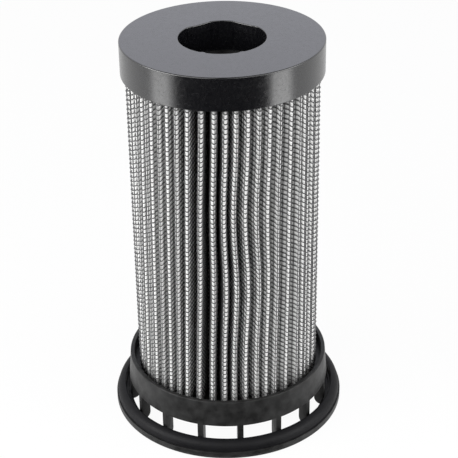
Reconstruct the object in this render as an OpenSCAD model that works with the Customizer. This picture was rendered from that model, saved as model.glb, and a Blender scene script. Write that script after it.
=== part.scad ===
// Pleated hydraulic filter element that stands upright on its windowed flange.
// The origin is the centre of the base, +Z is up and the seam of the pack is at the rear (+Y).

/* [Element] */
// Overall height from the flange's underside to the top face
element_h = 166; // [140:1:260]
// Outer diameter of the top cap
cap_d = 80; // [76:1:96]

/* [Top cap] */
// Height of the cap's outer skirt, top face included
skirt_h = 13.5; // [10:0.5:18]
// Thickness of the skirt wall
skirt_t = 1.6; // [1.2:0.1:2.4]
// Thickness of the annular top plate
plate_t = 3; // [2:0.25:3.5]
// Radius that softens the cap's outer top edge
cap_edge_r = 0.6; // [0.2:0.1:1]
// Diameter of the outlet bore in the collar
bore_d = 34.2; // [32:0.2:36]
// Thickness of the collar wall round the bore
collar_t = 3.5; // [3:0.1:4]
// Height of collar below the seal groove
collar_foot_h = 2.2; // [1.5:0.1:4]

/* [Bore mouth] */
// How far the two rear lugs reach into the bore
lug_reach = 1.4; // [0.8:0.1:1.6]
// Width of a rear lug across its flat face
lug_w = 9; // [6:0.5:11]
// Depth of the lugs and nibs below the top face
lug_h = 3.5; // [2:0.5:6]
// Angle of each rear lug from the rear of the bore
lug_angle = 33; // [25:1:45]
// How far the two front nibs reach into the bore
nib_reach = 0.7; // [0.3:0.1:1]
// Width of a front nib
nib_w = 1.8; // [1.2:0.1:3]
// Angle of each front nib from the front of the bore
nib_angle = 25; // [15:1:40]

/* [Bore seal] */
// Inner diameter of the seal, where it grips the outlet tube
seal_bore_d = 30.4; // [29:0.1:31]
// Height of the square-cut seal
seal_h = 4; // [3:0.25:5]
// Depth of the seal's upper face below the top face
seal_depth = 13; // [9:0.5:16]
// Depth of the groove that holds the seal
groove_depth = 2; // [1.2:0.1:2.4]

/* [Pleat pack] */
// Number of folds round the pack, the seam fold included
pleats = 54; // [48:1:56]
// Width across the rounded tip of a fold
tip_w = 2.5; // [2.4:0.1:2.8]
// Bend radius at the bottom of a valley
valley_r = 0.2; // [0.15:0.05:0.3]
// Most that a tip wanders from even spacing, in degrees
tip_sway = 1.1; // [0:0.1:1.4]
// Clearance between the tips and the skirt
tip_gap = 0.3; // [0.1:0.05:0.4]
// Thickness of one wire mesh layer
mesh_t = 0.28; // [0.2:0.02:0.3]
// Thickness of one scrim layer
scrim_t = 0.1; // [0.06:0.02:0.12]
// Thickness of the filter media
media_t = 0.36; // [0.3:0.02:0.4]

/* [Seam] */
// Sheet thickness of the seam clip
clip_t = 0.5; // [0.3:0.05:0.6]
// How far the clip's legs stop short of the valleys beside it
clip_root_gap = 4.6; // [4:0.2:7]
// Adhesive gap between the two pack ends
seam_gap = 0.2; // [0.1:0.05:0.3]
// Play between the pack ends and the clip
clip_gap = 0.08; // [0.05:0.01:0.15]

/* [Centre tube] */
// Outer diameter of the perforated tube
tube_d = 48; // [46:0.5:50]
// Wall of the tube
tube_t = 0.8; // [0.6:0.1:1.2]
// Clearance between the tube and the roots of the folds
tube_gap = 0.2; // [0.1:0.05:0.3]
// Diameter of a perforation
perf_d = 5; // [4:0.5:7]
// Perforations round the tube in each row
perf_columns = 10; // [8:1:12]
// Height between rows of perforations
perf_pitch = 12.5; // [11:0.5:16]

/* [Potting] */
// Height of each potting ring
potting_h = 4; // [3:0.25:5]
// Resin between a cap and the ends of the pack and tube
potting_bed = 1; // [0.5:0.1:1.5]

/* [Bottom cup] */
// Height of the windows' upper edge above the base
window_top = 12; // [10:0.25:14]
// Height of the cup wall above the windows
cup_h = 11.3; // [8:0.1:14]
// Gap between the pleat tips and the inside of the cup
cup_gap = 2.2; // [1:0.1:3]
// Thickness of the cup wall at its rim
cup_t = 1.8; // [1.4:0.1:2.4]
// How much wider the cup is at the windows than at its rim
cup_flare = 0.9; // [0.4:0.1:1.2]
// Thickness of the cup floor
floor_t = 2; // [1.5:0.25:3]
// Play between the potting dam and the bore of the tube
dam_gap = 1.6; // [1:0.1:2.5]
// Thickness of the potting dam
dam_t = 1.6; // [1.2:0.1:2.2]

/* [Flange] */
// Number of ribs, and of windows between them
ribs = 16; // [12:1:20]
// Width of a rib
rib_w = 2.3; // [1.8:0.1:3]
// Radial depth of a rib below the cup
rib_depth = 4.1; // [3:0.1:5]
// Angle of the first rib from the front
rib_phase = 6.5; // [0:0.5:20]
// How far the flange reaches out past the cup wall
flange_reach = 6; // [5:0.25:8]
// Thickness of the flange
flange_t = 2.9; // [2:0.1:3.5]
// How far the flange lies inside the cup's outer wall
flange_inset = 0.6; // [0.2:0.1:1]

/* [Gasket] */
// Gap between the cup wall and the gasket
gasket_gap = 1.9; // [1.5:0.1:2.4]
// Height of the gasket above the flange
gasket_h = 4.4; // [3:0.1:5.5]
// Step between the flange's edge and the gasket
gasket_step = 0.6; // [0.5:0.1:0.9]
// Thickness of the low spigot that centres the gasket
spigot_t = 1; // [0.8:0.1:1.2]
// Height of that spigot above the flange
spigot_h = 1.4; // [1:0.1:2]

/* [Hidden] */
$fn = 96;
// Overlap that makes a cutter pass through a face
cut = 1;
tip_segments = 6;
root_segments = 4;
edge_segments = 4;

cap_r = cap_d / 2;
skirt_r = cap_r - skirt_t;
bore_r = bore_d / 2;
collar_r = bore_r + collar_t;
seal_top = element_h - seal_depth;
seal_bottom = seal_top - seal_h;
collar_bottom = seal_bottom - collar_foot_h;
seal_r = bore_r + groove_depth;

tube_r = tube_d / 2;
tube_bore_r = tube_r - tube_t;
laminate_t = 2 * mesh_t + 2 * scrim_t + media_t;
pack_r = skirt_r - tip_gap;
root_r = tube_r + tube_gap;
// Bend radii of the laminate's middle surface at the tips, the roots and the seam
tip_bend = (tip_w - laminate_t) / 2;
root_bend = valley_r + laminate_t / 2;
seam_bend = (seam_gap + laminate_t) / 2;
tip_centre_r = pack_r - tip_w / 2;
root_centre_r = root_r + laminate_t + valley_r;
seam_end_r = pack_r - clip_t - clip_gap;
fold_angle = 360 / pleats;

plate_bottom = element_h - plate_t;
floor_top = window_top + floor_t;
pack_bottom = floor_top + potting_bed;
pack_top = plate_bottom - potting_bed;
lower_potting_top = floor_top + potting_h;
upper_potting_bottom = plate_bottom - potting_h;

cup_bore_r = pack_r + cup_gap;
cup_rim_r = cup_bore_r + cup_t;
cup_r = cup_rim_r + cup_flare;
cup_rim = window_top + cup_h;
dam_r = tube_bore_r - dam_gap;
flange_r = cup_r + flange_reach;
flange_bore_r = cup_r - flange_inset;
gasket_bore_r = cup_r + gasket_gap;
gasket_r = flange_r - gasket_step;
gasket_top = flange_t + gasket_h;

perf_rows = floor((upper_potting_bottom - lower_potting_top - perf_d) / perf_pitch);
perf_first = (upper_potting_bottom + lower_potting_top - perf_rows * perf_pitch) / 2;

// Unit vector at an angle
function dir(a) = [cos(a), sin(a)];

// Angle of a vector
function heading(v) = atan2(v.y, v.x);

// The same angle, written within half a turn of another one
function near(a, other) = other + (a - other + 3780) % 360 - 180;

// Points along an arc, both ends included
function arc(centre, r, from, to, n) = [for (i = [0:n]) centre + r * dir(from + (to - from) * i / n)];

// The folds are not quite evenly spaced, as hand-gathered pleats are not
function sway(k) = k % pleats == 0 ? 0 : tip_sway * (0.6 * sin(137 * k) + 0.4 * sin(71 * k + 40));
function tip_angle(k) = 90 + k * fold_angle + sway(k);
function root_angle(k) = 90 + (k + 0.5) * fold_angle;
function tip_centre(k) = (k % pleats == 0 ? seam_end_r : tip_centre_r) * dir(tip_angle(k));
function root_centre(k) = root_centre_r * dir(root_angle(k));
function bend(k) = k % pleats == 0 ? seam_bend : tip_bend;

// A flank is the inner tangent of a tip circle and a root circle. Both radii change by the same
// amount from layer to layer, so every layer's flank has the same normal and the layers nest.
function lean(k, root) = acos((bend(k) + root_bend) / norm(root_centre(root) - tip_centre(k)));
function normal_after(k) = heading(root_centre(k) - tip_centre(k)) - lean(k, k);
function normal_before(k) = heading(root_centre(k - 1) - tip_centre(k)) + lean(k, k - 1);

// One fold tip and one valley of the surface that lies d outside the middle surface
function tip(k, d) = arc(
    tip_centre(k), bend(k) + d,
    near(normal_before(k), tip_angle(k) - 90), near(normal_after(k), tip_angle(k) + 90), tip_segments
);
function valley(k, d) = arc(
    root_centre(k), root_bend - d,
    near(normal_after(k) + 180, root_angle(k) + 270), near(normal_before(k + 1) + 180, root_angle(k) + 90),
    root_segments
);

// The whole folded surface, from one pack end at the seam round to the other
function folded(d) = concat(
    [tip_centre(0) + (bend(0) + d) * dir(normal_after(0))],
    [for (k = [0:pleats - 1], p = concat(valley(k, d), k < pleats - 1 ? tip(k + 1, d) : [])) p],
    [tip_centre(pleats) + (bend(pleats) + d) * dir(normal_before(pleats))]
);

function reversed(list) = [for (i = [len(list) - 1:-1:0]) list[i]];

// Surfaces between the layers, counted out from the middle surface
media_face = media_t / 2;
scrim_face = media_face + scrim_t;
mesh_face = scrim_face + mesh_t;

// A folded sheet between two surfaces of the laminate
module folded_sheet(inside, outside, bottom, top) {
    translate([0, 0, bottom])
        linear_extrude(top - bottom)
            polygon(concat(folded(outside), reversed(folded(inside))));
}

// A layer of the pack at its full height
module layer(inside, outside) {
    folded_sheet(inside, outside, pack_bottom, pack_top);
}

// Resin ring cast round the ends of the folds and of the tube
module potting(inner_r, outer_r, bottom, top) {
    difference() {
        translate([0, 0, bottom]) cylinder(h = top - bottom, r = outer_r);
        translate([0, 0, bottom - cut]) cylinder(h = top - bottom + 2 * cut, r = inner_r);
        folded_sheet(-mesh_face, mesh_face, pack_bottom, pack_top);
        tube_blank();
    }
}

module tube_blank() {
    translate([0, 0, pack_bottom])
        difference() {
            cylinder(h = pack_top - pack_bottom, r = tube_r);
            translate([0, 0, -cut]) cylinder(h = pack_top - pack_bottom + 2 * cut, r = tube_bore_r);
        }
}

// A block that stands in from the bore wall, under the top face
module bore_block(width, reach, angle) {
    intersection() {
        rotate(angle)
            translate([bore_r - reach, -width / 2, element_h - lug_h])
                cube([reach + collar_t / 2, width, lug_h]);
        translate([0, 0, element_h - lug_h]) cylinder(h = lug_h, r = bore_r + collar_t / 2);
    }
}

module top_end_cap() {
    color("#37373a")
        union() {
            rotate_extrude()
                polygon(concat(
                    [[bore_r, seal_top], [bore_r, element_h]],
                    arc([cap_r - cap_edge_r, element_h - cap_edge_r], cap_edge_r, 90, 0, edge_segments),
                    [
                        [cap_r, element_h - skirt_h], [skirt_r, element_h - skirt_h],
                        [skirt_r, plate_bottom], [collar_r, plate_bottom],
                        [collar_r, collar_bottom], [bore_r, collar_bottom],
                        [bore_r, seal_bottom], [seal_r, seal_bottom], [seal_r, seal_top]
                    ]
                ));
            for (side = [-1, 1]) {
                bore_block(lug_w, lug_reach, 90 + side * lug_angle);
                bore_block(nib_w, nib_reach, 270 + side * nib_angle);
            }
        }
}

module bore_seal() {
    color("#1c1c1e")
        translate([0, 0, seal_bottom])
            difference() {
                cylinder(h = seal_h, r = seal_r);
                translate([0, 0, -cut]) cylinder(h = seal_h + 2 * cut, d = seal_bore_d);
            }
}

module top_potting() {
    color("#3a3936") potting(collar_r, skirt_r, upper_potting_bottom, plate_bottom);
}

module bottom_potting() {
    color("#3a3936") potting(dam_r, cup_bore_r, floor_top, lower_potting_top);
}

module outer_support_mesh() {
    color("#8d8d90") layer(scrim_face, mesh_face);
}

module upstream_scrim() {
    color("#f2f2f0") layer(media_face, scrim_face);
}

module filter_media() {
    color("#fafaf6") layer(-media_face, media_face);
}

module downstream_scrim() {
    color("#ececea") layer(-scrim_face, -media_face);
}

module inner_support_mesh() {
    color("#7d7d80") layer(-mesh_face, -scrim_face);
}

// Strip folded to a U over the two pack ends
module side_seam_clip() {
    half_gap = seam_bend + laminate_t / 2 + clip_gap;
    leg_r = root_centre_r + clip_root_gap;
    color("#b4b6ba")
        translate([0, 0, lower_potting_top])
            linear_extrude(upper_potting_bottom - lower_potting_top)
                difference() {
                    translate([-half_gap - clip_t, leg_r])
                        square([2 * (half_gap + clip_t), pack_r - leg_r]);
                    translate([-half_gap, leg_r - cut])
                        square([2 * half_gap, pack_r - clip_t - leg_r + cut]);
                }
}

module center_tube() {
    color("#a7a9ac")
        difference() {
            tube_blank();
            for (row = [0:perf_rows], column = [0:perf_columns - 1])
                translate([0, 0, perf_first + row * perf_pitch])
                    rotate((column + (row % 2) / 2 + 0.25) * 360 / perf_columns)
                        rotate([0, 90, 0])
                            translate([0, 0, tube_bore_r - cut])
                                cylinder(h = tube_t + 2 * cut, d = perf_d);
        }
}

// Section of the ribs: straight under the cup, rounded at the inner foot, joined to the flange
module rib_section() {
    foot_r = rib_depth - flange_inset;
    root_r = flange_r - flange_reach / 2;
    polygon(concat(
        [[cup_rim_r, floor_top], [cup_r, window_top], [cup_r, flange_t], [root_r, flange_t], [root_r, 0]],
        arc([flange_bore_r, foot_r], foot_r, 270, 180, 2 * edge_segments),
        [[cup_r - rib_depth, floor_top]]
    ));
}

module bottom_end_cap() {
    lip_r = 0.5;
    color("#333336")
        union() {
            // Cup with its closed floor and the potting dam
            rotate_extrude()
                polygon([
                    [0, window_top], [cup_r, window_top], [cup_rim_r, cup_rim], [cup_bore_r, cup_rim],
                    [cup_bore_r, floor_top], [dam_r, floor_top], [dam_r, lower_potting_top],
                    [dam_r - dam_t, lower_potting_top], [dam_r - dam_t, floor_top], [0, floor_top]
                ]);
            // Flange with the spigot that centres the gasket
            rotate_extrude()
                polygon(concat(
                    [[flange_bore_r, 0]],
                    arc([flange_r - lip_r, lip_r], lip_r, 270, 360, edge_segments),
                    [
                        [flange_r, flange_t], [gasket_bore_r, flange_t],
                        [gasket_bore_r, flange_t + spigot_h],
                        [gasket_bore_r - spigot_t, flange_t + spigot_h],
                        [gasket_bore_r - spigot_t, flange_t], [flange_bore_r, flange_t]
                    ]
                ));
            intersection() {
                rotate_extrude() rib_section();
                for (k = [0:ribs - 1])
                    rotate(270 + rib_phase + k * 360 / ribs)
                        translate([0, -rib_w / 2, 0]) cube([flange_r, rib_w, floor_top]);
            }
        }
}

// Moulded ring with a flat crown and a full outer shoulder
module flange_gasket() {
    shoulder_r = gasket_h / 2;
    inner_edge_r = 0.4;
    color("#26262b")
        rotate_extrude()
            polygon(concat(
                [[gasket_r, flange_t]],
                arc([gasket_r - shoulder_r, gasket_top - shoulder_r], shoulder_r, 0, 90, 2 * edge_segments),
                arc([gasket_bore_r + inner_edge_r, gasket_top - inner_edge_r], inner_edge_r, 90, 180, edge_segments),
                [[gasket_bore_r, flange_t]]
            ));
}

top_end_cap();
bore_seal();
top_potting();
outer_support_mesh();
upstream_scrim();
filter_media();
downstream_scrim();
inner_support_mesh();
side_seam_clip();
center_tube();
bottom_potting();
bottom_end_cap();
flange_gasket();
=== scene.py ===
import logging
import math
from abc import ABC, abstractmethod
from dataclasses import dataclass, field
from enum import Enum
from functools import cache
from typing import Iterable, Sequence

import bmesh
import bpy
import numpy as np
from mathutils import Matrix, Vector


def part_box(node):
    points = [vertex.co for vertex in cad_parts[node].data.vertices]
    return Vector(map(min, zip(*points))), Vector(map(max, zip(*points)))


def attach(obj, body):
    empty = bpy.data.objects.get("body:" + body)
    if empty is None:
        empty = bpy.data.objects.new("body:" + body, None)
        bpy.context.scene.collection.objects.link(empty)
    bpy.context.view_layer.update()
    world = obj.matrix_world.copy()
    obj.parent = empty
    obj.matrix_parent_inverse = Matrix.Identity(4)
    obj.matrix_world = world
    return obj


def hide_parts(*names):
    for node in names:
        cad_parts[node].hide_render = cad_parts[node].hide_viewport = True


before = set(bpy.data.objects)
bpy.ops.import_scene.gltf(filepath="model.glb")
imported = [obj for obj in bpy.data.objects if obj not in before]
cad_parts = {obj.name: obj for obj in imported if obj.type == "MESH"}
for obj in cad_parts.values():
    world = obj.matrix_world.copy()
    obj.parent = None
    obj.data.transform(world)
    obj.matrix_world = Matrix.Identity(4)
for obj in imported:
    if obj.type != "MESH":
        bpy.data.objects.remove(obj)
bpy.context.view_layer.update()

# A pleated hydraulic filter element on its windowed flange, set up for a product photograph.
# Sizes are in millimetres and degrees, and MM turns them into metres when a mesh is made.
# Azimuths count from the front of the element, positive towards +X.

MM = 0.001
BODY = "root"
LOG = logging.getLogger("filter_element")

Point = tuple[float, float]
Place = tuple[float, float, float]
Colour = tuple[float, float, float]
Mesh = bmesh.types.BMesh
Material = bpy.types.Material
Socket = bpy.types.NodeSocket


class Slot(Enum):
    """Material slots of the record that a piece takes its finish from."""

    CAP = "moulded_cap"
    CUP = "moulded_cup"
    GASKET = "gasket_rubber"
    SEAL = "seal_rubber"
    RESIN = "potting_resin"
    WIRE = "coated_wire"
    SCRIM = "scrim_cloth"
    MEDIA = "glass_fibre_media"
    STEEL = "plated_steel"


def node_box(name: str) -> tuple[Vector, Vector]:
    """Gives the lowest and the highest corner of a CAD node in millimetres."""
    low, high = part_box(name)
    return low / MM, high / MM


# Outlines

# Distance of the point that is kept beside each rounding, so that shading stays off the flat faces
BORDER = 0.12
# Points that lie closer than this are merged
WELD = 0.001
# Edges that are still shorter than this are taken out
SLIVER = 0.0001


@dataclass(frozen=True)
class Corner:
    """A corner of a section: distance from the axis, height, and the radius that rounds it."""

    r: float
    z: float
    radius: float = 0.0


def arc(centre: Point, radius: float, start: float, end: float, steps: int) -> list[Point]:
    """Gives points along an arc from one angle in degrees to another, both ends included."""
    turns = [math.radians(start + (end - start) * i / steps) for i in range(steps + 1)]
    return [(centre[0] + radius * math.cos(t), centre[1] + radius * math.sin(t)) for t in turns]


def soften(corners: Sequence[Corner], steps: int = 4) -> list[Point]:
    """Rounds the corners of a closed outline, each by its own radius.

    Args:
        corners: Corners in order round the outline.
        steps: Straight steps in each rounding.

    Returns:
        Points of the rounded outline.
    """
    points: list[Point] = []
    for i, corner in enumerate(corners):
        if corner.radius <= 0:
            points.append((corner.r, corner.z))
            continue
        last, following = corners[i - 1], corners[(i + 1) % len(corners)]
        here = Vector((corner.r, corner.z))
        back = Vector((last.r, last.z)) - here
        ahead = Vector((following.r, following.z)) - here
        half = back.angle(ahead) / 2
        reach = corner.radius / math.tan(half)
        middle = (back.normalized() + ahead.normalized()).normalized()
        centre = here + middle * corner.radius / math.sin(half)
        first = here + back.normalized() * reach - centre
        turn = first.angle_signed(here + ahead.normalized() * reach - centre)
        if back.length > reach + 2 * BORDER:
            points.append(tuple(here + back.normalized() * (reach + BORDER)))
        start = math.degrees(math.atan2(first.y, first.x))
        points += arc(tuple(centre), corner.radius, start, start - math.degrees(turn), steps)
        if ahead.length > reach + 2 * BORDER:
            points.append(tuple(here + ahead.normalized() * (reach + BORDER)))
    return points


def outline(bm: Mesh, points: Iterable[Point], turn: float = 0.0) -> list:
    """Draws a closed outline in the plane that holds the axis.

    Args:
        bm: Mesh to draw in.
        points: Distance from the axis and height of each point.
        turn: Azimuth of the plane in degrees.

    Returns:
        The new vertices and edges.
    """
    out = Vector((math.sin(math.radians(turn)), -math.cos(math.radians(turn)), 0)) * MM
    verts = [bm.verts.new(out * r + Vector((0, 0, z * MM))) for r, z in points]
    return verts + [bm.edges.new(pair) for pair in zip(verts, verts[1:] + verts[:1])]


def spin(bm: Mesh, geom: list, degrees: float, steps: int, closed: bool = False,
         copies: bool = False) -> None:
    """Spins geometry about the element's axis.

    Args:
        bm: Mesh that holds it.
        geom: What is spun.
        degrees: Angle of the spin.
        steps: Number of steps.
        closed: Whether the last step joins the first.
        copies: Whether each step is a separate copy.
    """
    bmesh.ops.spin(
        bm, geom=geom, cent=(0, 0, 0), axis=(0, 0, 1), dvec=(0, 0, 0), angle=math.radians(degrees),
        steps=steps, use_merge=closed, use_normal_flip=False, use_duplicate=copies,
    )


def close_shell(bm: Mesh) -> None:
    """Merges the seams and poles of a shell and turns its faces outwards.

    Args:
        bm: Mesh of the shell.
    """
    bmesh.ops.remove_doubles(bm, verts=bm.verts, dist=WELD * MM)
    bmesh.ops.dissolve_degenerate(bm, edges=bm.edges, dist=SLIVER * MM)
    bmesh.ops.recalc_face_normals(bm, faces=bm.faces)


def revolve(points: Sequence[Point], steps: int) -> Mesh:
    """Turns an outline once round the axis.

    Args:
        points: Points of the closed outline.
        steps: Steps round the axis.

    Returns:
        The mesh of the ring.
    """
    bm = bmesh.new()
    spin(bm, outline(bm, points), 360, steps, closed=True)
    close_shell(bm)
    return bm


def loft(rows: Sequence[np.ndarray], joins: Sequence[tuple[int, int]], rounded: bool = False) -> Mesh:
    """Draws the first row as a wire and extrudes it through the other rows.

    Args:
        rows: Positions in millimetres, one array of the same length for each row.
        joins: Pairs of places in a row that an edge joins.
        rounded: Whether the last row is joined to the first.

    Returns:
        The mesh of the lofted skin.
    """
    bm = bmesh.new()
    place = bm.verts.layers.int.new("place")
    verts = [bm.verts.new(point) for point in rows[0] * MM]
    for i, vert in enumerate(verts):
        vert[place] = i
    edges = [bm.edges.new((verts[a], verts[b])) for a, b in joins]
    for row in [*rows[1:], *([rows[0]] if rounded else [])]:
        made = bmesh.ops.extrude_edge_only(bm, edges=edges)["geom"]
        fresh = {v for v in made if isinstance(v, bmesh.types.BMVert)}
        for vert in fresh:
            vert.co = row[vert[place]] * MM
        edges = [e for e in made if isinstance(e, bmesh.types.BMEdge) and fresh.issuperset(e.verts)]
    if rounded:
        bmesh.ops.remove_doubles(bm, verts=bm.verts, dist=WELD * MM)
    return bm


def show(name: str, data: bpy.types.ID) -> bpy.types.Object:
    """Puts a mesh, a lamp or a camera into the scene.

    Args:
        name: Name of its object.
        data: The mesh, lamp or camera.

    Returns:
        The new object.
    """
    shown = bpy.data.objects.new(name, data)
    bpy.context.scene.collection.objects.link(shown)
    return shown


def new_object(name: str, bm: Mesh, material: Material) -> bpy.types.Object:
    """Turns a mesh into an object of the scene.

    Args:
        name: Name of the object.
        bm: Its mesh, in metres and in place.
        material: Its material.

    Returns:
        The new object.
    """
    mesh = bpy.data.meshes.new(name)
    bm.to_mesh(mesh)
    bm.free()
    mesh.materials.append(material)
    return show(name, mesh)


def place_piece(name: str, bm: Mesh, slot: Slot, node: str, crease: float = 32.0) -> bpy.types.Object:
    """Turns a mesh into a finished piece of the element.

    Args:
        name: Name of the piece.
        bm: Its mesh, in metres and in place.
        slot: Slot of the record for its finish.
        node: CAD node that the piece replaces.
        crease: Angle in degrees above which an edge is shaded sharp.

    Returns:
        The new object.
    """
    piece = new_object(name, bm, finish_of(slot))
    piece.data.shade_smooth()
    piece.data.set_sharp_from_angle(angle=math.radians(crease))
    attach(piece, BODY)
    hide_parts(node)
    LOG.info("%s: %d faces", name, len(piece.data.polygons))
    return piece


def dress_node(name: str, slot: Slot) -> None:
    """Gives a CAD node that stays in view its finish.

    Args:
        name: Name of the node.
        slot: Slot of the record for its finish.
    """
    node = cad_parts[name]
    node.data.materials.clear()
    node.data.materials.append(finish_of(slot))
    LOG.info("%s: CAD node kept", name)


# Finishes


class Nodes:
    """Adds and joins the nodes of a material or of the world."""

    def __init__(self, tree: bpy.types.NodeTree) -> None:
        """Starts on a tree of nodes."""
        self.tree = tree

    def add(self, kind: str, **settings: object) -> bpy.types.Node:
        """Adds a node.

        Args:
            kind: Blender's name for the node type, without the ShaderNode prefix.
            settings: Properties by name, or inputs by their name with _ for a space.

        Returns:
            The node.
        """
        node = self.tree.nodes.new("ShaderNode" + kind)
        for name, value in settings.items():
            if hasattr(node, name):
                setattr(node, name, value)
            else:
                self.feed(node.inputs[name.replace("_", " ")], value)
        return node

    def feed(self, target: Socket, value: object) -> None:
        """Joins a socket to an input, or writes a plain value there.

        Args:
            target: The input.
            value: A socket, a number or a colour.
        """
        if isinstance(value, Socket):
            self.tree.links.new(value, target)
        else:
            target.default_value = value

    def math(self, operation: str, first: object, second: object = 0.0) -> Socket:
        """Does one sum on sockets or numbers.

        Args:
            operation: Blender's name for it.
            first: A socket or a number.
            second: A socket or a number.

        Returns:
            The socket of the result.
        """
        node = self.add("Math", operation=operation)
        self.feed(node.inputs[0], first)
        self.feed(node.inputs[1], second)
        return node.outputs[0]

    def seen_directly(self) -> Socket:
        """Tests for what the camera, a reflection or clear matter sees.

        Returns:
            A socket that is 1 for those rays and 0 for light.
        """
        rays = self.add("LightPath").outputs
        mirrored = self.math("MAXIMUM", rays["Is Glossy Ray"], rays["Is Transmission Ray"])
        return self.math("MAXIMUM", rays["Is Camera Ray"], mirrored)


class Recipe(Nodes):
    """Builds one material on a principled shader."""

    # Values that a noise pattern seldom passes
    NOISE_LOW, NOISE_HIGH = 0.3, 0.7
    # Places of the colour sockets on Blender's Mix node
    MIX_SHARE, MIX_FIRST, MIX_SECOND, MIX_RESULT = 0, 6, 7, 2

    def __init__(self, name: str) -> None:
        """Starts a material from a plain shader.

        Args:
            name: Name of the material.
        """
        self.material = bpy.data.materials.new(name)
        self.material.use_nodes = True
        super().__init__(self.material.node_tree)
        self.shader = self.tree.nodes["Principled BSDF"]

    def paint(self, **values: object) -> None:
        """Sets inputs of the shader by their names, with _ for a space."""
        for name, value in values.items():
            self.feed(self.shader.inputs[name.replace("_", " ")], value)

    def noise(self, size: float, detail: float = 3.0, squeeze: float = 1.0) -> Socket:
        """Gives a noise pattern on Object coordinates.

        Args:
            size: Rough size of a spot.
            detail: Octaves of finer noise.
            squeeze: Factor on heights. Below 1 it draws the spots out into upright streaks.

        Returns:
            The socket of its value from 0 to 1.
        """
        where = self.add("TexCoord").outputs["Object"]
        if squeeze != 1:
            where = self.add("Mapping", Vector=where, Scale=(1, 1, squeeze)).outputs[0]
        return self.add("TexNoise", Vector=where, Scale=1 / (size * MM), Detail=detail).outputs["Fac"]

    def spread(self, value: Socket, low: float, high: float) -> Socket:
        """Maps the middle of a noise pattern to a range.

        Args:
            value: Socket of the noise.
            low: Result at the noise's usual lowest value.
            high: Result at its usual highest value.

        Returns:
            The socket of the result.
        """
        ends = {"From_Min": self.NOISE_LOW, "From_Max": self.NOISE_HIGH, "To_Min": low, "To_Max": high}
        return self.add("MapRange", Value=value, **ends).outputs[0]

    def cloud(self, size: float, detail: float = 3.0) -> Socket:
        """Gives a noise pattern that reaches 0 and 1."""
        return self.spread(self.noise(size, detail), 0, 1)

    def blend(self, share: Socket, first: Colour, second: Colour) -> Socket:
        """Mixes two colours.

        Args:
            share: Share of the second colour.
            first: The first colour.
            second: The second colour.

        Returns:
            The socket of the mixed colour.
        """
        node = self.add("Mix", data_type="RGBA")
        self.feed(node.inputs[self.MIX_SHARE], share)
        self.feed(node.inputs[self.MIX_FIRST], (*first, 1))
        self.feed(node.inputs[self.MIX_SECOND], (*second, 1))
        return node.outputs[self.MIX_RESULT]

    def bump(self, height: Socket, depth: float) -> None:
        """Raises the surface by a pattern that stands so many millimetres high at 1."""
        self.paint(Normal=self.add("Bump", Distance=depth * MM, Height=height).outputs["Normal"])


def shade(colour: Colour, factor: float) -> Colour:
    """Gives a colour lighter or darker by a factor."""
    return tuple(min(channel * factor, 1.0) for channel in colour)


@dataclass(frozen=True)
class Finish(ABC):
    """A finish of the element. Each kind adds its own touches to a plain shader."""

    name: str
    colour: Colour
    roughness: float

    def material(self) -> Material:
        """Builds the material.

        Returns:
            The material.
        """
        recipe = Recipe(self.name)
        recipe.paint(Roughness=self.roughness)
        self.work(recipe)
        return recipe.material

    @abstractmethod
    def work(self, recipe: Recipe) -> None:
        """Adds what is special to a kind of finish."""

    def tint(self, recipe: Recipe, pattern: Socket, dark: float, light: float = 1.0) -> None:
        """Paints the colour in tones between two factors, the darker one where a pattern is 0."""
        tones = shade(self.colour, dark), shade(self.colour, light)
        recipe.paint(Base_Color=recipe.blend(pattern, *tones))


class Grain(Enum):
    """Surface that a mould leaves: size of a grain and its depth."""

    FINE = (0.6, 0.0008)
    SPARKED = (1.1, 0.012)
    SMOOTH = (0.5, 0.001)


@dataclass(frozen=True)
class Moulded(Finish):
    """Black moulded plastic or rubber, mottled in tone and, in spots a third as large, in gloss."""

    gloss: float
    grain: Grain
    mottle: float
    mottle_size: float = 4.0
    smoother: float = 0.04
    rougher: float = 0.05

    def work(self, recipe: Recipe) -> None:
        """Mottles the colour and the gloss, and adds the grain of the mould.

        Args:
            recipe: Recipe of the material.
        """
        self.tint(recipe, recipe.cloud(self.mottle_size, detail=4), 1 - self.mottle, 1 + self.mottle)
        spots = recipe.noise(self.mottle_size / 3)
        rough = recipe.spread(spots, self.roughness - self.smoother, self.roughness + self.rougher)
        recipe.paint(Roughness=rough, Specular_IOR_Level=self.gloss)
        size, depth = self.grain.value
        recipe.bump(recipe.noise(size, detail=2), depth)


@dataclass(frozen=True)
class PackCloth(Finish):
    """White cloth that swells a little between the wires that hold it."""

    pillow: float
    # Share by which the cloth beside each wire is darkened: painted shade for the wires' contact shadow,
    # together with a stain
    wire_shade_and_stain: float
    gloss: float = 0.25
    patch: float = 6.0
    patch_tone: float = 0.9
    swell_power: float = 0.5
    fibre: float = 0.22
    fibre_height: float = 0.3

    def work(self, recipe: Recipe) -> None:
        """Paints shade and stain beside the wires, and swells the cloth on its own map, where a wire lies on
        every whole number.

        Args:
            recipe: Recipe of the material.
        """
        cut = recipe.add("SeparateXYZ", Vector=recipe.add("UVMap", uv_map="wires").outputs[0])
        humps = [
            recipe.math("ABSOLUTE", recipe.math("SINE", recipe.math("MULTIPLY", axis, math.pi)))
            for axis in cut.outputs[:2]
        ]
        swell = recipe.math("POWER", recipe.math("MULTIPLY", *humps), self.swell_power)
        patches = recipe.spread(recipe.noise(self.patch), self.patch_tone, 1.0)
        # Painted shade and stain: the cloth darkens where the swell falls away beside each wire, standing in
        # for the wires' contact shadow, and the patches vary its tone at random
        self.tint(recipe, recipe.math("MULTIPLY", swell, patches), 1 - self.wire_shade_and_stain)
        recipe.paint(Specular_IOR_Level=self.gloss)
        fibres = recipe.math("MULTIPLY", recipe.noise(self.fibre), self.fibre_height)
        recipe.bump(recipe.math("ADD", swell, fibres), self.pillow)


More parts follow.
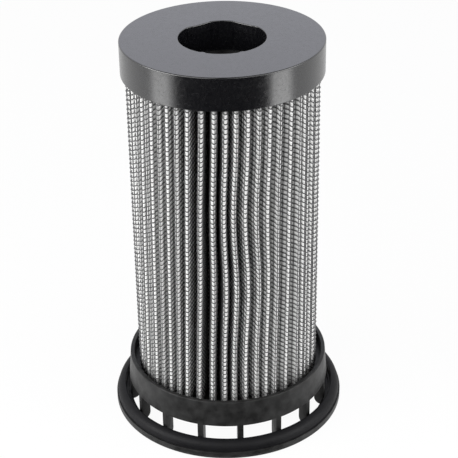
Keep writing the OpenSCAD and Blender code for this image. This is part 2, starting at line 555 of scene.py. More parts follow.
@dataclass(frozen=True)
class Felt(Finish):
    """Plain fibre felt or cured resin, soft and uneven in tone."""

    fibre: float
    depth: float
    fibres_in_patch: float = 12.0
    patch_tone: float = 0.85

    def work(self, recipe: Recipe) -> None:
        """Adds patches of tone and the fibres.

        Args:
            recipe: Recipe of the material.
        """
        self.tint(recipe, recipe.cloud(self.fibre * self.fibres_in_patch), self.patch_tone)
        recipe.bump(recipe.noise(self.fibre, detail=4), self.depth)


@dataclass(frozen=True)
class CoatedWire(Finish):
    """Steel wire with a black coat of uneven thickness."""

    gloss: float
    thick_tone: float = 0.6
    thin_tone: float = 1.4
    uneven: float = 0.1
    tone_spot: float = 1.3
    gloss_spot: float = 0.7
    grain: float = 0.3
    depth: float = 0.01

    def work(self, recipe: Recipe) -> None:
        """Varies the coat's tone, gloss and surface along the wire.

        Args:
            recipe: Recipe of the material.
        """
        self.tint(recipe, recipe.cloud(self.tone_spot), self.thick_tone, self.thin_tone)
        spots = recipe.noise(self.gloss_spot)
        rough = recipe.spread(spots, self.roughness - self.uneven, self.roughness + self.uneven)
        recipe.paint(Roughness=rough, Specular_IOR_Level=self.gloss)
        recipe.bump(recipe.noise(self.grain), self.depth)


@dataclass(frozen=True)
class PlatedSteel(Finish):
    """Zinc-plated sheet, rolled lengthwise."""

    patch: float = 3.0
    patch_tone: float = 0.8
    mark: float = 0.4
    mark_squeeze: float = 0.05
    smoother: float = 0.08
    rougher: float = 0.12
    depth: float = 0.01

    def work(self, recipe: Recipe) -> None:
        """Adds cloudy plating and long rolling marks.

        Args:
            recipe: Recipe of the material.
        """
        self.tint(recipe, recipe.cloud(self.patch), self.patch_tone)
        marks = recipe.noise(self.mark, squeeze=self.mark_squeeze)
        rough = recipe.spread(marks, self.roughness - self.smoother, self.roughness + self.rougher)
        recipe.paint(Metallic=1.0, Roughness=rough)
        recipe.bump(marks, self.depth)


FINISHES: dict[Slot, Finish] = {
    Slot.CAP: Moulded("cap_plastic", (0.003, 0.003, 0.004), 0.24, 1.0, Grain.FINE, mottle=0.08),
    Slot.CUP: Moulded("cup_plastic", (0.019, 0.019, 0.019), 0.42, 0.2, Grain.SPARKED, mottle=0.5),
    Slot.GASKET: Moulded("gasket_rubber", (0.007, 0.007, 0.008), 0.55, 0.15, Grain.SMOOTH, mottle=0.1),
    Slot.SEAL: Moulded("seal_rubber", (0.008, 0.008, 0.009), 0.4, 0.4, Grain.SMOOTH, mottle=0.1),
    Slot.RESIN: Felt("potting_resin", (0.03, 0.029, 0.028), 0.45, fibre=1.2, depth=0.05),
    Slot.WIRE: CoatedWire("coated_wire", (0.055, 0.055, 0.057), 0.34, gloss=0.95),
    # The scrim cloth is darkened beside each wire by painted shade and a stain
    Slot.SCRIM: PackCloth("scrim_cloth", (0.84, 0.84, 0.83), 0.85, pillow=0.16, wire_shade_and_stain=0.4),
    Slot.MEDIA: Felt("fibre_media", (0.85, 0.85, 0.82), 0.95, fibre=0.12, depth=0.02),
    Slot.STEEL: PlatedSteel("plated_steel", (0.62, 0.62, 0.6), 0.32),
}


@cache
def finish_of(slot: Slot) -> Material:
    """Builds the material of a slot when it is first asked for."""
    return FINISHES[slot].material()


# The element


def ease(share: float | np.ndarray) -> float | np.ndarray:
    """Rounds off both ends of a straight rise from 0 to 1."""
    return share * share * (3 - 2 * share)


@dataclass
class TopCap:
    """Moulded cap with a skirt, an outlet collar and the lugs and nibs at the mouth of its bore."""

    skirt_height: float = 13.5
    skirt_wall: float = 1.6
    skirt_edge: float = 0.4
    skirt_inner_edge: float = 0.3
    plate: float = 3.0
    plate_fillet: float = 0.5
    edge: float = 0.45
    bore_r: float = 17.1
    bore_edge: float = 0.3
    collar_wall: float = 3.5
    collar_edge: float = 0.4
    lug_depth: float = 3.5
    lug_slope: float = 0.2
    lug_reach: float = 1.3
    lug_width: float = 10.0
    lug_azimuths: tuple[float, float] = (146.0, -146.0)
    nib_reach: float = 0.5
    nib_width: float = 1.8
    nib_azimuths: tuple[float, float] = (25.0, -25.0)
    blend: float = 4.0
    steps: int = 360

    def section(self) -> list[Point]:
        """Works out the cap's section from the CAD cap and seal.

        Returns:
            Points of the closed section.
        """
        low, high = node_box("top_end_cap")
        seal_low, seal_high = node_box("bore_seal")
        cap_r, top = high.x, high.z
        skirt_r, skirt_end, plate_end = cap_r - self.skirt_wall, top - self.skirt_height, top - self.plate
        collar_r = self.bore_r + self.collar_wall
        lug_end = top - self.lug_depth
        return soften([
            Corner(self.bore_r, lug_end),
            Corner(self.bore_r, top, self.bore_edge),
            Corner(cap_r, top, self.edge),
            Corner(cap_r, skirt_end, self.skirt_edge),
            Corner(skirt_r, skirt_end, self.skirt_inner_edge),
            Corner(skirt_r, plate_end, self.plate_fillet),
            Corner(collar_r, plate_end, self.plate_fillet),
            Corner(collar_r, low.z, self.collar_edge),
            Corner(self.bore_r, low.z, self.collar_edge),
            Corner(self.bore_r, seal_low.z),
            Corner(seal_high.x, seal_low.z),
            Corner(seal_high.x, seal_high.z),
            Corner(self.bore_r, seal_high.z),
            Corner(self.bore_r, lug_end - self.lug_slope),
        ])

    def reach_at(self, azimuth: float) -> float:
        """Tells how far the bore wall stands in at an azimuth.

        Args:
            azimuth: Azimuth in degrees.

        Returns:
            The reach in millimetres.
        """
        reach = 0.0
        blocks = [(a, self.lug_reach, self.lug_width) for a in self.lug_azimuths]
        blocks += [(a, self.nib_reach, self.nib_width) for a in self.nib_azimuths]
        for centre, depth, width in blocks:
            turn = math.radians((azimuth - centre + 540) % 360 - 180)
            if abs(turn) > math.pi / 4:
                continue
            flat = self.bore_r - (self.bore_r - depth) / math.cos(turn)
            blend = min(self.blend, width / 2)
            share = (width / 2 + blend / 2 - abs(self.bore_r * math.sin(turn))) / blend
            reach = max(reach, flat * ease(min(max(share, 0.0), 1.0)))
        return reach

    def build(self) -> None:
        """Spins the section and draws the lugs and nibs out of the bore wall."""
        bm = revolve(self.section(), self.steps)
        below = node_box("top_end_cap")[1].z - self.lug_depth - self.lug_slope / 2
        rim = self.bore_r + self.bore_edge + 2 * BORDER
        for vert in bm.verts:
            x, y, z = vert.co / MM
            r = math.hypot(x, y)
            if r < rim and z > below:
                reach = self.reach_at(math.degrees(math.atan2(x, -y)))
                vert.co = Vector((x * (r - reach) / r, y * (r - reach) / r, z)) * MM
        place_piece("top_cap", bm, Slot.CAP, "top_end_cap")


@dataclass(frozen=True)
class Wave:
    """One wave in how the fold tips wander round the pack.

    Amounts are degrees; a drift is how much the amount changes per 60 mm of height.
    """

    count: int
    cosine: float
    sine: float
    cosine_drift: float
    sine_drift: float


@dataclass(frozen=True)
class Stray:
    """A group of folds that stands aside, and sways to one side and back on its way up.

    The azimuth is the group's middle, the spread its half width, and shift and sway are degrees.
    """

    azimuth: float
    spread: float
    shift: float
    sway: float = 0.0


@dataclass(frozen=True)
class Bends:
    """How many straight steps the folded line takes round a tip and round a root."""

    tip: int
    root: int


@dataclass
class PleatLine:
    """The folded line that every layer of the pack follows, seen from above.

    Tips and roots are circles, and a flank is the inner tangent of two of them. Both radii change
    by the same amount from layer to layer, so the layers nest at every height. An offset is the
    distance of a surface outside the middle of the laminate.
    """

    pleats: int = 54
    pack_r: float = 38.1
    tip_width: float = 2.28
    laminate: float = 1.12
    root_r: float = 24.2
    valley_r: float = 0.2
    seam_gap: float = 0.2
    seam_inset: float = 0.58
    tip_turn: float = -0.25
    root_turn: float = -4.0
    lean: float = 1.98
    lean_height: float = 60.0
    middle: float = 90.0
    still_from: float = 125.0
    still_to: float = 165.0
    waves: tuple[Wave, ...] = (
        Wave(2, -2.4, 0.07, -0.08, -1.7),
        Wave(3, 1.35, 1.0, -0.06, 0.8),
        Wave(7, 0.36, -0.35, -0.12, -0.48),
        Wave(14, 0.13, -0.37, -0.2, 0.14),
    )
    strays: tuple[Stray, ...] = (
        Stray(12, 19, 0.3, -1.5), Stray(48, 9, 3.4), Stray(-24, 12, -1.1), Stray(-49, 6, -1.0),
    )
    sway_height: float = 45.0
    sway_turn: float = 3.5

    def __post_init__(self) -> None:
        """Works out the bend radii and the circles that the folds turn on."""
        self.tip_bend = (self.tip_width - self.laminate) / 2
        self.root_bend = self.valley_r + self.laminate / 2
        self.seam_bend = (self.seam_gap + self.laminate) / 2
        self.tip_centre_r = self.pack_r - self.tip_width / 2
        self.root_centre_r = self.root_r + self.laminate + self.valley_r
        self.pitch = math.tau / self.pleats

    def wander(self, azimuth: np.ndarray, z: float, turn: float) -> np.ndarray:
        """Tells how far folds stand off their even places, fading out towards the seam.

        Args:
            azimuth: Even azimuths of the folds in radians.
            z: Height in millimetres.
            turn: Turn of them all in degrees.

        Returns:
            Angles in radians.
        """
        height = (z - self.middle) / self.lean_height
        total = np.full_like(azimuth, turn + self.lean * height)
        for wave in self.waves:
            total += (wave.cosine + wave.cosine_drift * height) * np.cos(wave.count * azimuth)
            total += (wave.sine + wave.sine_drift * height) * np.sin(wave.count * azimuth)
        rise = (z - self.middle) / self.sway_height
        bow = math.sin(rise * self.sway_turn) * math.exp(-rise * rise)
        for stray in self.strays:
            near = np.exp(-(((np.degrees(azimuth) - stray.azimuth) / stray.spread) ** 2))
            total += (stray.shift + stray.sway * bow) * near
        fade = (self.still_to - np.abs(np.degrees(azimuth))) / (self.still_to - self.still_from)
        return np.radians(total) * ease(np.clip(fade, 0, 1))

    def points(self, offset: float, z: float, bends: Bends) -> np.ndarray:
        """Gives the folded line of one surface at one height.

        Args:
            offset: Offset of the surface.
            z: Height in millimetres.
            bends: Steps round the bends.

        Returns:
            Positions in millimetres, from one pack end at the seam round to the other.
        """
        folds = np.arange(self.pleats + 1)
        tip_azimuth = folds * self.pitch - math.pi
        root_azimuth = tip_azimuth[:-1] + self.pitch / 2
        tip_at = tip_azimuth - math.pi / 2 + self.wander(tip_azimuth, z, self.tip_turn)
        root_at = root_azimuth - math.pi / 2 + self.wander(root_azimuth, z, self.root_turn)
        ends = (folds == 0) | (folds == self.pleats)
        radii = np.where(ends, self.seam_bend, self.tip_bend)
        tips = np.where(ends, self.pack_r - self.seam_inset, self.tip_centre_r)[:, None] * unit(tip_at)
        roots = self.root_centre_r * unit(root_at)
        after = self._normal(tips[:-1], roots, radii[:-1], -1)
        before = self._normal(tips[1:], roots, radii[1:], 1)
        valley = sweep(roots, self.root_bend - offset, nearest(after + math.pi, root_at + 1.5 * math.pi),
                       nearest(before + math.pi, root_at + math.pi / 2), bends.root)
        tip = sweep(tips[1:-1], self.tip_bend + offset, nearest(before[:-1], tip_at[1:-1] - math.pi / 2),
                    nearest(after[1:], tip_at[1:-1] + math.pi / 2), bends.tip)
        first = tips[0] + (self.seam_bend + offset) * unit(after[0])
        last = tips[-1] + (self.seam_bend + offset) * unit(before[-1])
        folded = np.concatenate([valley[:-1], tip], axis=1).reshape(-1, 2)
        flat = np.vstack([first[None], folded, valley[-1], last[None]])
        return np.column_stack([flat, np.full(len(flat), z)])

    def stations(self, offset: float, bends: Bends) -> np.ndarray:
        """Tells how far along the sheet each point of the folded line is, for evenly spaced folds.

        Args:
            offset: Offset of the measured surface.
            bends: Steps round the bends.

        Returns:
            Lengths in millimetres, one for each point of points().
        """
        tip_sweep, root_sweep, fold = self._fold(offset)
        valley = fold / 2 + root_sweep * (np.arange(bends.root + 1) / bends.root - 0.5)
        tip = fold + tip_sweep * (np.arange(bends.tip + 1) / bends.tip - 0.5)
        one = np.concatenate([valley, tip])
        folded = (np.arange(self.pleats - 1)[:, None] * fold + one[None]).reshape(-1)
        last = (self.pleats - 1) * fold
        return np.concatenate([[tip_sweep / 2], folded, last + valley, [last + fold - tip_sweep / 2]])

    def at_tips(self, bends: Bends) -> np.ndarray:
        """Tells how close each point of the folded line is to the front of a tip.

        Args:
            bends: Steps round the bends.

        Returns:
            Values from 0 on the flanks and valleys to 1 on the front of a tip.
        """
        valley = np.zeros(bends.root + 1)
        tip = np.sin(math.pi * np.arange(bends.tip + 1) / bends.tip)
        folded = np.tile(np.concatenate([valley, tip]), self.pleats - 1)
        return np.concatenate([[0.0], folded, valley, [0.0]])

    def _fold(self, offset: float) -> tuple[float, float, float]:
        """Measures an even fold.

        Args:
            offset: Offset of the measured surface.

        Returns:
            Lengths of its tip arc and its root arc, and of the whole fold.
        """
        tip = np.array([[self.tip_centre_r, 0.0]])
        root = self.root_centre_r * unit(np.array([self.pitch / 2]))
        normal = float(self._normal(tip, root, np.array([self.tip_bend]), -1)[0])
        flank = math.sqrt(float(np.sum((root - tip) ** 2)) - (self.tip_bend + self.root_bend) ** 2)
        tip_sweep = 2 * normal * (self.tip_bend + offset)
        root_sweep = 2 * (normal - self.pitch / 2) * (self.root_bend - offset)
        return tip_sweep, root_sweep, 2 * flank + tip_sweep + root_sweep

    def _normal(self, tips: np.ndarray, roots: np.ndarray, radii: np.ndarray, side: int) -> np.ndarray:
        """Finds the outward normals of flanks.

        Args:
            tips: Centres of the tip circles.
            roots: Centres of the root circles.
            radii: Radii of the tip circles.
            side: -1 for the flank after a tip and 1 for the one before it.

        Returns:
            Angles in radians.
        """
        across = roots - tips
        lean = np.arccos((radii + self.root_bend) / np.hypot(across[:, 0], across[:, 1]))
        return np.arctan2(across[:, 1], across[:, 0]) + side * lean


def unit(angle: np.ndarray) -> np.ndarray:
    """Gives unit vectors at angles in radians."""
    return np.stack([np.cos(angle), np.sin(angle)], axis=-1)


def nearest(angle: np.ndarray, other: np.ndarray) -> np.ndarray:
    """Writes angles within half a turn of other ones."""
    return other + (angle - other + math.pi) % math.tau - math.pi


def sweep(centres: np.ndarray, radius: float, start: np.ndarray, end: np.ndarray, steps: int) -> np.ndarray:
    """Gives points along several arcs of one radius.

    Args:
        centres: Centres of the arcs.
        radius: Their radius.
        start: Angles where they start, in radians.
        end: Angles where they end.
        steps: Straight steps in each.

    Returns:
        Positions, one row of steps + 1 for each arc.
    """
    share = np.arange(steps + 1) / steps
    angles = start[:, None] + (end - start)[:, None] * share
    return centres[:, None, :] + radius * unit(angles)


@dataclass
class PleatPack:
    """The five nested layers of the pack, the outer one as single wires.

    The first hoop starts above the lower resin and the first upright beside the seam. Levels are the
    heights that a loft goes through.
    """

    line: PleatLine = field(default_factory=PleatLine)
    mesh_t: float = 0.28
    scrim_t: float = 0.1
    media_t: float = 0.36
    hoop_d: float = 0.52
    hoop_rise: float = 0.27
    hoop_pitch: float = 2.0
    hoop_start: float = 1.5
    hoop_sag: float = 1.0
    upright_d: float = 0.28
    upright_pitch: float = 2.0
    upright_start: float = 4.0
    sheet_bends: Bends = Bends(6, 4)
    hoop_bends: Bends = Bends(6, 2)
    upright_bends: Bends = Bends(12, 8)
    sheet_levels: int = 14
    upright_levels: int = 10
    wire_crease: float = 100.0

    def __post_init__(self) -> None:
        """Reads the heights of the pack and of the resin rings off the CAD nodes."""
        low, high = node_box("filter_media")
        self.bottom, self.top = low.z, high.z
        self.media_face = self.media_t / 2
        self.scrim_face = self.media_face + self.scrim_t
        self.upright_offset = self.scrim_face + self.upright_d / 2
        self.hoop_offset = self.scrim_face + self.hoop_d / 2
        self.first_hoop = node_box("bottom_potting")[1].z + self.hoop_start

    def build(self) -> None:
        """Builds every layer, the hoops of the outer one in two pieces."""
        for name, node, slot, face, thickness in (
            ("upstream_scrim_cloth", "upstream_scrim", Slot.SCRIM, self.scrim_face, self.scrim_t),
            ("filter_media_felt", "filter_media", Slot.MEDIA, self.media_face, self.media_t),
            ("downstream_scrim_cloth", "downstream_scrim", Slot.SCRIM, -self.media_face, self.scrim_t),
            ("inner_mesh_sheet", "inner_support_mesh", Slot.WIRE, -self.scrim_face, self.mesh_t),
        ):
            piece = place_piece(name, self.sheet(face), slot, node)
            wall = piece.modifiers.new("thickness", "SOLIDIFY")
            wall.thickness = thickness * MM
            wall.offset = -1
            wall.use_even_offset = True
        hoops = np.arange(self.first_hoop, node_box("top_potting")[0].z, self.hoop_pitch)
        half = len(hoops) // 2
        for name, wires in (
            ("outer_mesh_uprights", self.uprights()),
            ("outer_mesh_hoops_lower", self.hoops(hoops[:half])),
            ("outer_mesh_hoops_upper", self.hoops(hoops[half:])),
        ):
            bmesh.ops.holes_fill(wires, edges=wires.edges, sides=4)
            bmesh.ops.recalc_face_normals(wires, faces=wires.faces)
            place_piece(name, wires, Slot.WIRE, "outer_support_mesh", self.wire_crease)

    def sheet(self, face: float) -> Mesh:
        """Lofts one folded sheet through its heights and maps it by the wires that hold it.

        Args:
            face: Offset of its outer face.

        Returns:
            The mesh of that face, which looks out of the laminate.
        """
        heights = np.linspace(self.bottom, self.top, self.sheet_levels)
        rows = [self.line.points(face, z, self.sheet_bends) for z in heights]
        bm = loft(rows, [(i, i + 1) for i in range(len(rows[0]) - 1)])
        place = bm.verts.layers.int["place"]
        wires = bm.loops.layers.uv.new("wires")
        along = self.line.stations(self.upright_offset, self.sheet_bends) / self.upright_pitch
        for panel in bm.faces:
            for loop in panel.loops:
                up = (loop.vert.co.z / MM - self.first_hoop) / self.hoop_pitch
                loop[wires].uv = (along[loop.vert[place]], up)
        first = next(panel for panel in bm.faces if all(vert[place] in (0, 1) for vert in panel.verts))
        first.normal_update()
        further_out = self.line.points(face + 1, self.bottom, self.sheet_bends)[0]
        if first.normal.dot(Vector(further_out - rows[0][0])) < 0:
            bmesh.ops.reverse_faces(bm, faces=bm.faces)
        return bm

    def uprights(self) -> Mesh:
        """Lofts the wires that stand upright, each on a four-sided section.

        Returns:
            The mesh of the wires, open at their ends.
        """
        radius = self.upright_d / 2
        stations = self.line.stations(self.upright_offset, self.upright_bends)
        places = np.arange(self.upright_start, stations[-1] - radius, self.upright_pitch)
        rows = []
        for z in np.linspace(self.bottom, self.top, self.upright_levels):
            corners = []
            for out, along in ((radius, 0), (0, radius), (-radius, 0), (0, -radius)):
                path = self.line.points(self.upright_offset + out, z, self.upright_bends)
                x, y = (np.interp(places + along, stations, path[:, axis]) for axis in (0, 1))
                corners.append(np.column_stack([x, y, np.full(len(places), z)]))
            rows.append(np.stack(corners, axis=1).reshape(-1, 3))
        joins = [(4 * wire + i, 4 * wire + (i + 1) % 4) for wire in range(len(places)) for i in range(4)]
        return loft(rows, joins)

    def hoops(self, heights: np.ndarray) -> Mesh:
        """Lofts the wires that run round the folds, each on a four-sided section.

        Args:
            heights: Heights of the wires on the flanks.

        Returns:
            The mesh of the wires, open at their ends.
        """
        radius = self.hoop_d / 2
        sag = self.hoop_sag * self.line.at_tips(self.hoop_bends)
        rows = []
        for out, up in ((radius, 0), (0, self.hoop_rise), (-radius, 0), (0, -self.hoop_rise)):
            paths = [self.line.points(self.hoop_offset + out, z, self.hoop_bends) for z in heights]
            rows.append(np.vstack([path + np.outer(up - sag, (0, 0, 1)) for path in paths]))
        count = len(sag)
        firsts = range(0, count * len(heights), count)
        joins = [(i, i + 1) for first in firsts for i in range(first, first + count - 1)]
        return loft(rows, joins, rounded=True)


@dataclass
class BottomCup:
    """Cup, ribs and flange in one moulding: between the ribs the windows open under the cup."""

    ribs: int = 16
    rib_width: float = 2.3
    rib_azimuth: float = 6.5
    rib_inner_r: float = 38.9
    foot_radius: float = 3.5
    foot_steps: int = 8
    window_top: float = 12.0
    floor: float = 2.0
    floor_fillet: float = 0.5
    cup_r: float = 43.0
    rim_r: float = 42.1
    rim_edge: float = 0.45
    bore_r: float = 40.3
    bore_edge: float = 0.35
    dam_r: float = 21.6
    dam_wall: float = 1.6
    dam_edge: float = 0.3
    dam_fillet: float = 0.4
    flange_bore_r: float = 42.4
    flange: float = 2.9
    flange_edge: float = 0.12
    lip: float = 0.5
    spigot_r: float = 44.9
    spigot_wall: float = 1.0
    spigot_height: float = 1.4
    spigot_edge: float = 0.2
    window_edge: float = 0.45
    window_margin: float = 0.1
    sharp: float = 40.0
    rib_steps: int = 2
    window_steps: int = 12

    def __post_init__(self) -> None:
        """Reads the heights and the flange's radius off the CAD nodes."""
        low, high = node_box("bottom_end_cap")
        self.base, self.rim, self.flange_r = low.z, high.z, high.x
        self.dam_top = node_box("bottom_potting")[1].z

    def build(self) -> None:
        """Builds one rib and one window, and copies them round the axis."""
        sector = 360 / self.ribs
        rib = 2 * math.degrees(math.asin(self.rib_width / (self.cup_r + self.rib_inner_r)))
        start = self.rib_azimuth - rib / 2
        bm = bmesh.new()
        whole = outline(bm, self.cup_side() + self.rib_inside() + self.flange_side(), start)
        spin(bm, whole, rib, self.rib_steps)
        for part in (self.cup_side(), self.flange_side() + [(self.flange_bore_r, self.flange)]):
            spin(bm, outline(bm, part, start + rib), sector - rib, self.window_steps)
        for turn in (start + rib, start + sector):
            bmesh.ops.contextual_create(bm, geom=outline(bm, self.rib_face(), turn))
        spin(bm, bm.verts[:] + bm.edges[:] + bm.faces[:], 360 - sector, self.ribs - 1, copies=True)
        close_shell(bm)
        self.round_windows(bm)
        place_piece("bottom_cup", bm, Slot.CUP, "bottom_end_cap")

    def cup_side(self) -> list[Point]:
        """Draws the cup from the rib's inner edge by the axis to the rib's outer edge.

        Returns:
            Points of the section.
        """
        floor_top = self.window_top + self.floor
        dam_bore_r = self.dam_r - self.dam_wall
        rib_top = (self.cup_r, self.window_top)
        points = soften([
            Corner(self.bore_r, floor_top, self.floor_fillet),
            Corner(self.bore_r, self.rim, self.bore_edge),
            Corner(self.rim_r, self.rim, self.rim_edge),
            Corner(*rib_top),
            Corner(self.rib_inner_r, self.window_top),
            Corner(0, self.window_top),
            Corner(0, floor_top),
            Corner(dam_bore_r, floor_top, self.dam_fillet),
            Corner(dam_bore_r, self.dam_top, self.dam_edge),
            Corner(self.dam_r, self.dam_top, self.dam_edge),
            Corner(self.dam_r, floor_top, self.dam_fillet),
        ])
        last = points.index(rib_top)
        return (points[last + 1:] + points[:last + 1])[::-1]

    def rib_inside(self) -> list[Point]:
        """Draws the inner edge of a rib down to the flange's bore."""
        centre = (self.flange_bore_r, self.base + self.foot_radius)
        return arc(centre, self.foot_radius, 180, 270, self.foot_steps)[:-1]

    def flange_side(self) -> list[Point]:
        """Draws the flange from its lower bore edge round to the foot of the ribs.

        Returns:
            Points of the section.
        """
        spigot_top = self.flange + self.spigot_height
        spigot_bore_r = self.spigot_r - self.spigot_wall
        return soften([
            Corner(self.flange_bore_r, self.base),
            Corner(self.flange_r, self.base, self.lip),
            Corner(self.flange_r, self.flange, self.flange_edge),
            Corner(self.spigot_r, self.flange),
            Corner(self.spigot_r, spigot_top, self.spigot_edge),
            Corner(spigot_bore_r, spigot_top, self.spigot_edge),
            Corner(spigot_bore_r, self.flange),
            Corner(self.cup_r, self.flange),
        ])

    def rib_face(self) -> list[Point]:
        """Draws the side of a rib that looks into a window.

        Returns:
            Points of the section.
        """
        top = [(self.cup_r, self.window_top), (self.rib_inner_r, self.window_top)]
        bore = [(self.flange_bore_r, self.base), (self.flange_bore_r, self.flange)]
        return top + self.rib_inside() + bore + [(self.cup_r, self.flange)]

    def round_windows(self, bm: Mesh) -> None:
        """Rounds the sharp edges round the windows, apart from those that stand on the floor.

        Args:
            bm: Mesh of the whole moulding.
        """
        inner, outer = self.rib_inner_r - self.window_margin, self.cup_r + self.window_margin
        edges = []
        for edge in bm.edges:
            if len(edge.link_faces) != 2 or edge.calc_face_angle() < math.radians(self.sharp):
                continue
            ends = [vert.co / MM for vert in edge.verts]
            highest = max(end.z for end in ends)
            by_window = all(inner < math.hypot(end.x, end.y) < outer for end in ends)
            if by_window and self.base + self.window_margin < highest < self.window_top + self.window_margin:
                edges.append(edge)
        bmesh.ops.bevel(
            bm, geom=edges, offset=self.window_edge * MM, offset_type="OFFSET", segments=2, profile=0.5,
            affect="EDGES", clamp_overlap=True, material=-1, loop_slide=True,
        )
        for vert in bm.verts:
            vert.co.z = max(vert.co.z, self.base * MM)
        close_shell(bm)


@dataclass(frozen=True)
class Ring:
    """A ring with a four-cornered section, in the place of a CAD node.

    Its corner radii go from the foot of the bore up, out and down to the foot of the outer wall.
    """

    name: str
    node: str
    slot: Slot
    bore_r: float
    radii: tuple[float, float, float, float] = (0.0, 0.0, 0.0, 0.0)
    corner_steps: int = 4
    steps: int = 180

    def build(self) -> None:
        """Spins the ring's section."""
        low, high = node_box(self.node)
        corners = ((self.bore_r, low.z), (self.bore_r, high.z), (high.x, high.z), (high.x, low.z))
        section = soften([Corner(*at, radius) for at, radius in zip(corners, self.radii)], self.corner_steps)
        place_piece(self.name, revolve(section, self.steps), self.slot, self.node)


# The seal in the collar, the resin at both ends of the pack, and the gasket with its full shoulder
OUTLET_SEAL = Ring("outlet_seal", "bore_seal", Slot.SEAL, 15.2, radii=(0.35, 0.35, 0.15, 0.15))
TOP_POTTING = Ring("top_potting_ring", "top_potting", Slot.RESIN, TopCap.bore_r + TopCap.collar_wall)
BOTTOM_POTTING = Ring("bottom_potting_ring", "bottom_potting", Slot.RESIN, BottomCup.dam_r)
FLANGE_GASKET = Ring("flange_gasket_ring", "flange_gasket", Slot.GASKET, BottomCup.spigot_r,
                     radii=(0.2, 0.15, 3.2, 0.12), corner_steps=8, steps=288)


# The studio


@dataclass
class Camera:
    """Camera at the photograph's viewing angle. The picture and the focal length are in pixels."""

    picture: float = 458.0
    focal: float = 1400.0
    elevation: float = 29.39
    distance: float = 580.16
    target: Place = (1.40, 0.0, 81.09)
    roll: float = -0.95
    sensor: float = 36.0
    nearest: float = 10.0
    farthest: float = 20000.0

    def build(self) -> None:
        """Places the camera and makes it the scene's."""
        tilt, roll = math.radians(self.elevation), math.radians(self.roll)
        forward = Vector((0, math.cos(tilt), -math.sin(tilt)))
        right, above = Vector((1, 0, 0)), Vector((0, math.sin(tilt), math.cos(tilt)))
        across = math.cos(roll) * right + math.sin(roll) * above
        upward = -math.sin(roll) * right + math.cos(roll) * above
        data = bpy.data.cameras.new("studio_camera")
        data.sensor_width = self.sensor
        data.lens = self.focal / self.picture * self.sensor
        data.clip_start, data.clip_end = self.nearest * MM, self.farthest * MM
        camera = show("studio_camera", data)
        place = (Vector(self.target) - forward * self.distance) * MM
        turned = Matrix((across, upward, -forward)).transposed()
        camera.matrix_world = Matrix.Translation(place) @ turned.to_4x4()
        bpy.context.scene.camera = camera


@dataclass(frozen=True)
class Softbox:
    """A soft lamp that looks at a point of the element and isn't seen itself."""

    name: str
    place: Place
    width: float
    height: float
    radiance: float
    aim: Place = (0.0, 0.0, 90.0)
    tint: Colour = (1.0, 1.0, 1.0)

    def build(self) -> None:
        """Places the lamp. Its power follows from its radiance and its area."""
        data = bpy.data.lights.new(self.name, "AREA")
        data.shape = "RECTANGLE"
        data.size, data.size_y = self.width * MM, self.height * MM
        data.energy = self.radiance * math.pi * data.size * data.size_y
        data.color = self.tint
        lamp = show(self.name, data)
        lamp.location = Vector(self.place) * MM
        lamp.rotation_euler = (Vector(self.aim) - Vector(self.place)).to_track_quat("-Z", "Y").to_euler()
        lamp.visible_camera = False


def strip_lamp(name: str, azimuth: float, spread: float, radiance: float, away: float = 220.0,
               height: float = 100.0) -> Softbox:
    """Sizes a low strip lamp beside the element.

    Args:
        name: Name of the lamp.
        azimuth: Azimuth of its middle.
        spread: Degrees that it covers, seen from the axis.
        radiance: Its radiance.
        away: Its distance from the axis.
        height: Its height above the floor.

    Returns:
        The lamp.
    """
    turn = math.radians(azimuth)
    width = 2 * away * math.tan(math.radians(spread / 2))
    place = (away * math.sin(turn), -away * math.cos(turn), height / 2)
    return Softbox(name, place, width, height, radiance, aim=(0, 0, height / 2))


@dataclass(frozen=True)
class FloorCard:
    """A dark card on the floor: its nearest and farthest radius, and half its angle."""

    near: float
    far: float
    half: float


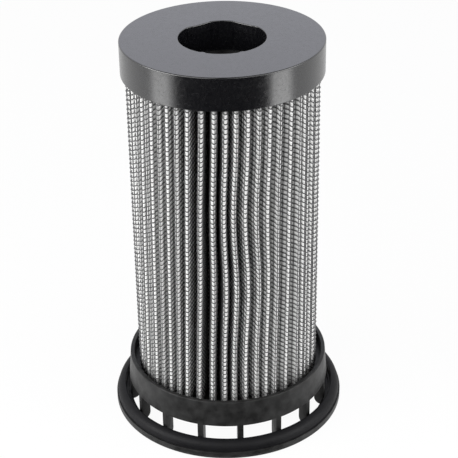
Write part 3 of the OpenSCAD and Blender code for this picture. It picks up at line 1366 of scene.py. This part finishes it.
@dataclass
class Studio:
    """White floor, white surroundings, soft lamps, and dark cards that only reflections show."""

    floor_size: float = 6000.0
    floor_white: float = 0.86
    floor_roughness: float = 0.9
    floor_glow: float = 0.95
    ambient: float = 0.3
    cards: tuple[FloorCard, ...] = (FloorCard(49.5, 58.0, 28.0), FloorCard(58.0, 900.0, 52.0))
    card_height: float = 0.6
    card_steps: int = 24
    card_black: float = 0.01
    flag_width: float = 2400.0
    flag_depth: float = 1800.0
    flag_place: Place = (0.0, -550.0, 1000.0)
    lamps: tuple[Softbox, ...] = (
        Softbox("back_softbox", (0, 700, 560), 1100, 520, 0.34, aim=(0, 0, 166), tint=(0.62, 0.66, 1.0)),
        Softbox("front_left_softbox", (-400, -730, 600), 520, 600, 3.4),
        Softbox("front_right_softbox", (380, -740, 600), 520, 600, 2.2),
        Softbox("left_softbox", (-760, -280, 420), 600, 500, 6.4),
        Softbox("right_softbox", (760, -280, 420), 600, 500, 3.8),
        strip_lamp("left_strip", -66.0, 22.0, 2.5),
        strip_lamp("right_strip", 62.0, 24.0, 2.7),
    )

    def build(self) -> None:
        """Builds the whole set."""
        self.surroundings()
        self.floor()
        self.dark_cards()
        self.dark_flag()
        for lamp in self.lamps:
            lamp.build()

    def surroundings(self) -> None:
        """Makes the world white to the eye and to reflections, and softer as a light."""
        world = bpy.data.worlds.new("studio_world")
        bpy.context.scene.world = world
        world.use_nodes = True
        nodes = Nodes(world.node_tree)
        background = nodes.tree.nodes["Background"].inputs
        nodes.feed(background["Color"], (1, 1, 1, 1))
        strength = nodes.add("MapRange", Value=nodes.seen_directly(), To_Min=self.ambient, To_Max=1.0)
        nodes.feed(background["Strength"], strength.outputs[0])

    def floor(self) -> None:
        """Lays the floor, a white surface that shows the shadow faintly."""
        bm = bmesh.new()
        bmesh.ops.create_grid(bm, x_segments=1, y_segments=1, size=self.floor_size / 2 * MM)
        recipe = Recipe("studio_floor")
        white = (self.floor_white, self.floor_white, self.floor_white, 1)
        recipe.paint(Base_Color=white, Roughness=self.floor_roughness, Specular_IOR_Level=0.0)
        surface = recipe.add("MixShader")
        share = recipe.math("MULTIPLY", recipe.seen_directly(), self.floor_glow)
        glow = recipe.add("Emission").outputs[0]
        for target, value in zip(surface.inputs, (share, recipe.shader.outputs[0], glow)):
            recipe.feed(target, value)
        recipe.feed(recipe.tree.nodes["Material Output"].inputs["Surface"], surface.outputs[0])
        new_object("studio_floor", bm, recipe.material)

    def dark_cards(self) -> None:
        """Lays dark cards on the floor in front of the element, the small one up to its flange."""
        bm = bmesh.new()
        lift = Vector((0, 0, self.card_height))
        for card in self.cards:
            turn = math.radians(card.half)
            start = Vector((-math.sin(turn), -math.cos(turn), 0))
            ends = [bm.verts.new((start * r + lift) * MM) for r in (card.near, card.far)]
            spin(bm, [*ends, bm.edges.new(ends)], 2 * card.half, self.card_steps)
        self.show_in_reflections("dark_card", bm)

    def dark_flag(self) -> None:
        """Hangs a dark flag over the element, with a hem down to the floor behind the camera."""
        bm = bmesh.new()
        flag = bmesh.ops.create_grid(bm, x_segments=1, y_segments=1, size=0.5)["verts"]
        bmesh.ops.scale(bm, vec=(self.flag_width * MM, self.flag_depth * MM, 1), verts=flag)
        bmesh.ops.translate(bm, vec=Vector(self.flag_place) * MM, verts=flag)
        middle = self.flag_place[1] * MM
        front = [edge for edge in bm.edges if all(vert.co.y < middle for vert in edge.verts)]
        made = bmesh.ops.extrude_edge_only(bm, edges=front)["geom"]
        hem = [vert for vert in made if isinstance(vert, bmesh.types.BMVert)]
        bmesh.ops.translate(bm, vec=(0, 0, -self.flag_place[2] * MM), verts=hem)
        self.show_in_reflections("dark_flag", bm)

    def show_in_reflections(self, name: str, bm: Mesh) -> None:
        """Makes a black stage piece that only reflections show.

        Args:
            name: Name of the piece.
            bm: Its mesh.
        """
        recipe = Recipe(name)
        black = (self.card_black, self.card_black, self.card_black, 1)
        recipe.paint(Base_Color=black, Specular_IOR_Level=0.0)
        card = new_object(name, bm, recipe.material)
        card.visible_camera = card.visible_diffuse = card.visible_shadow = False


def main() -> None:
    """Builds the camera, the element and the studio."""
    logging.basicConfig(level=logging.INFO, format="%(name)s %(message)s")
    bpy.context.scene.view_settings.view_transform = "Standard"
    Camera().build()
    for assembly in (
        TopCap(), OUTLET_SEAL, TOP_POTTING, BOTTOM_POTTING, PleatPack(), BottomCup(), FLANGE_GASKET,
    ):
        assembly.build()
    dress_node("side_seam_clip", Slot.STEEL)
    dress_node("center_tube", Slot.STEEL)
    Studio().build()


if __name__ == "__main__":
    main()
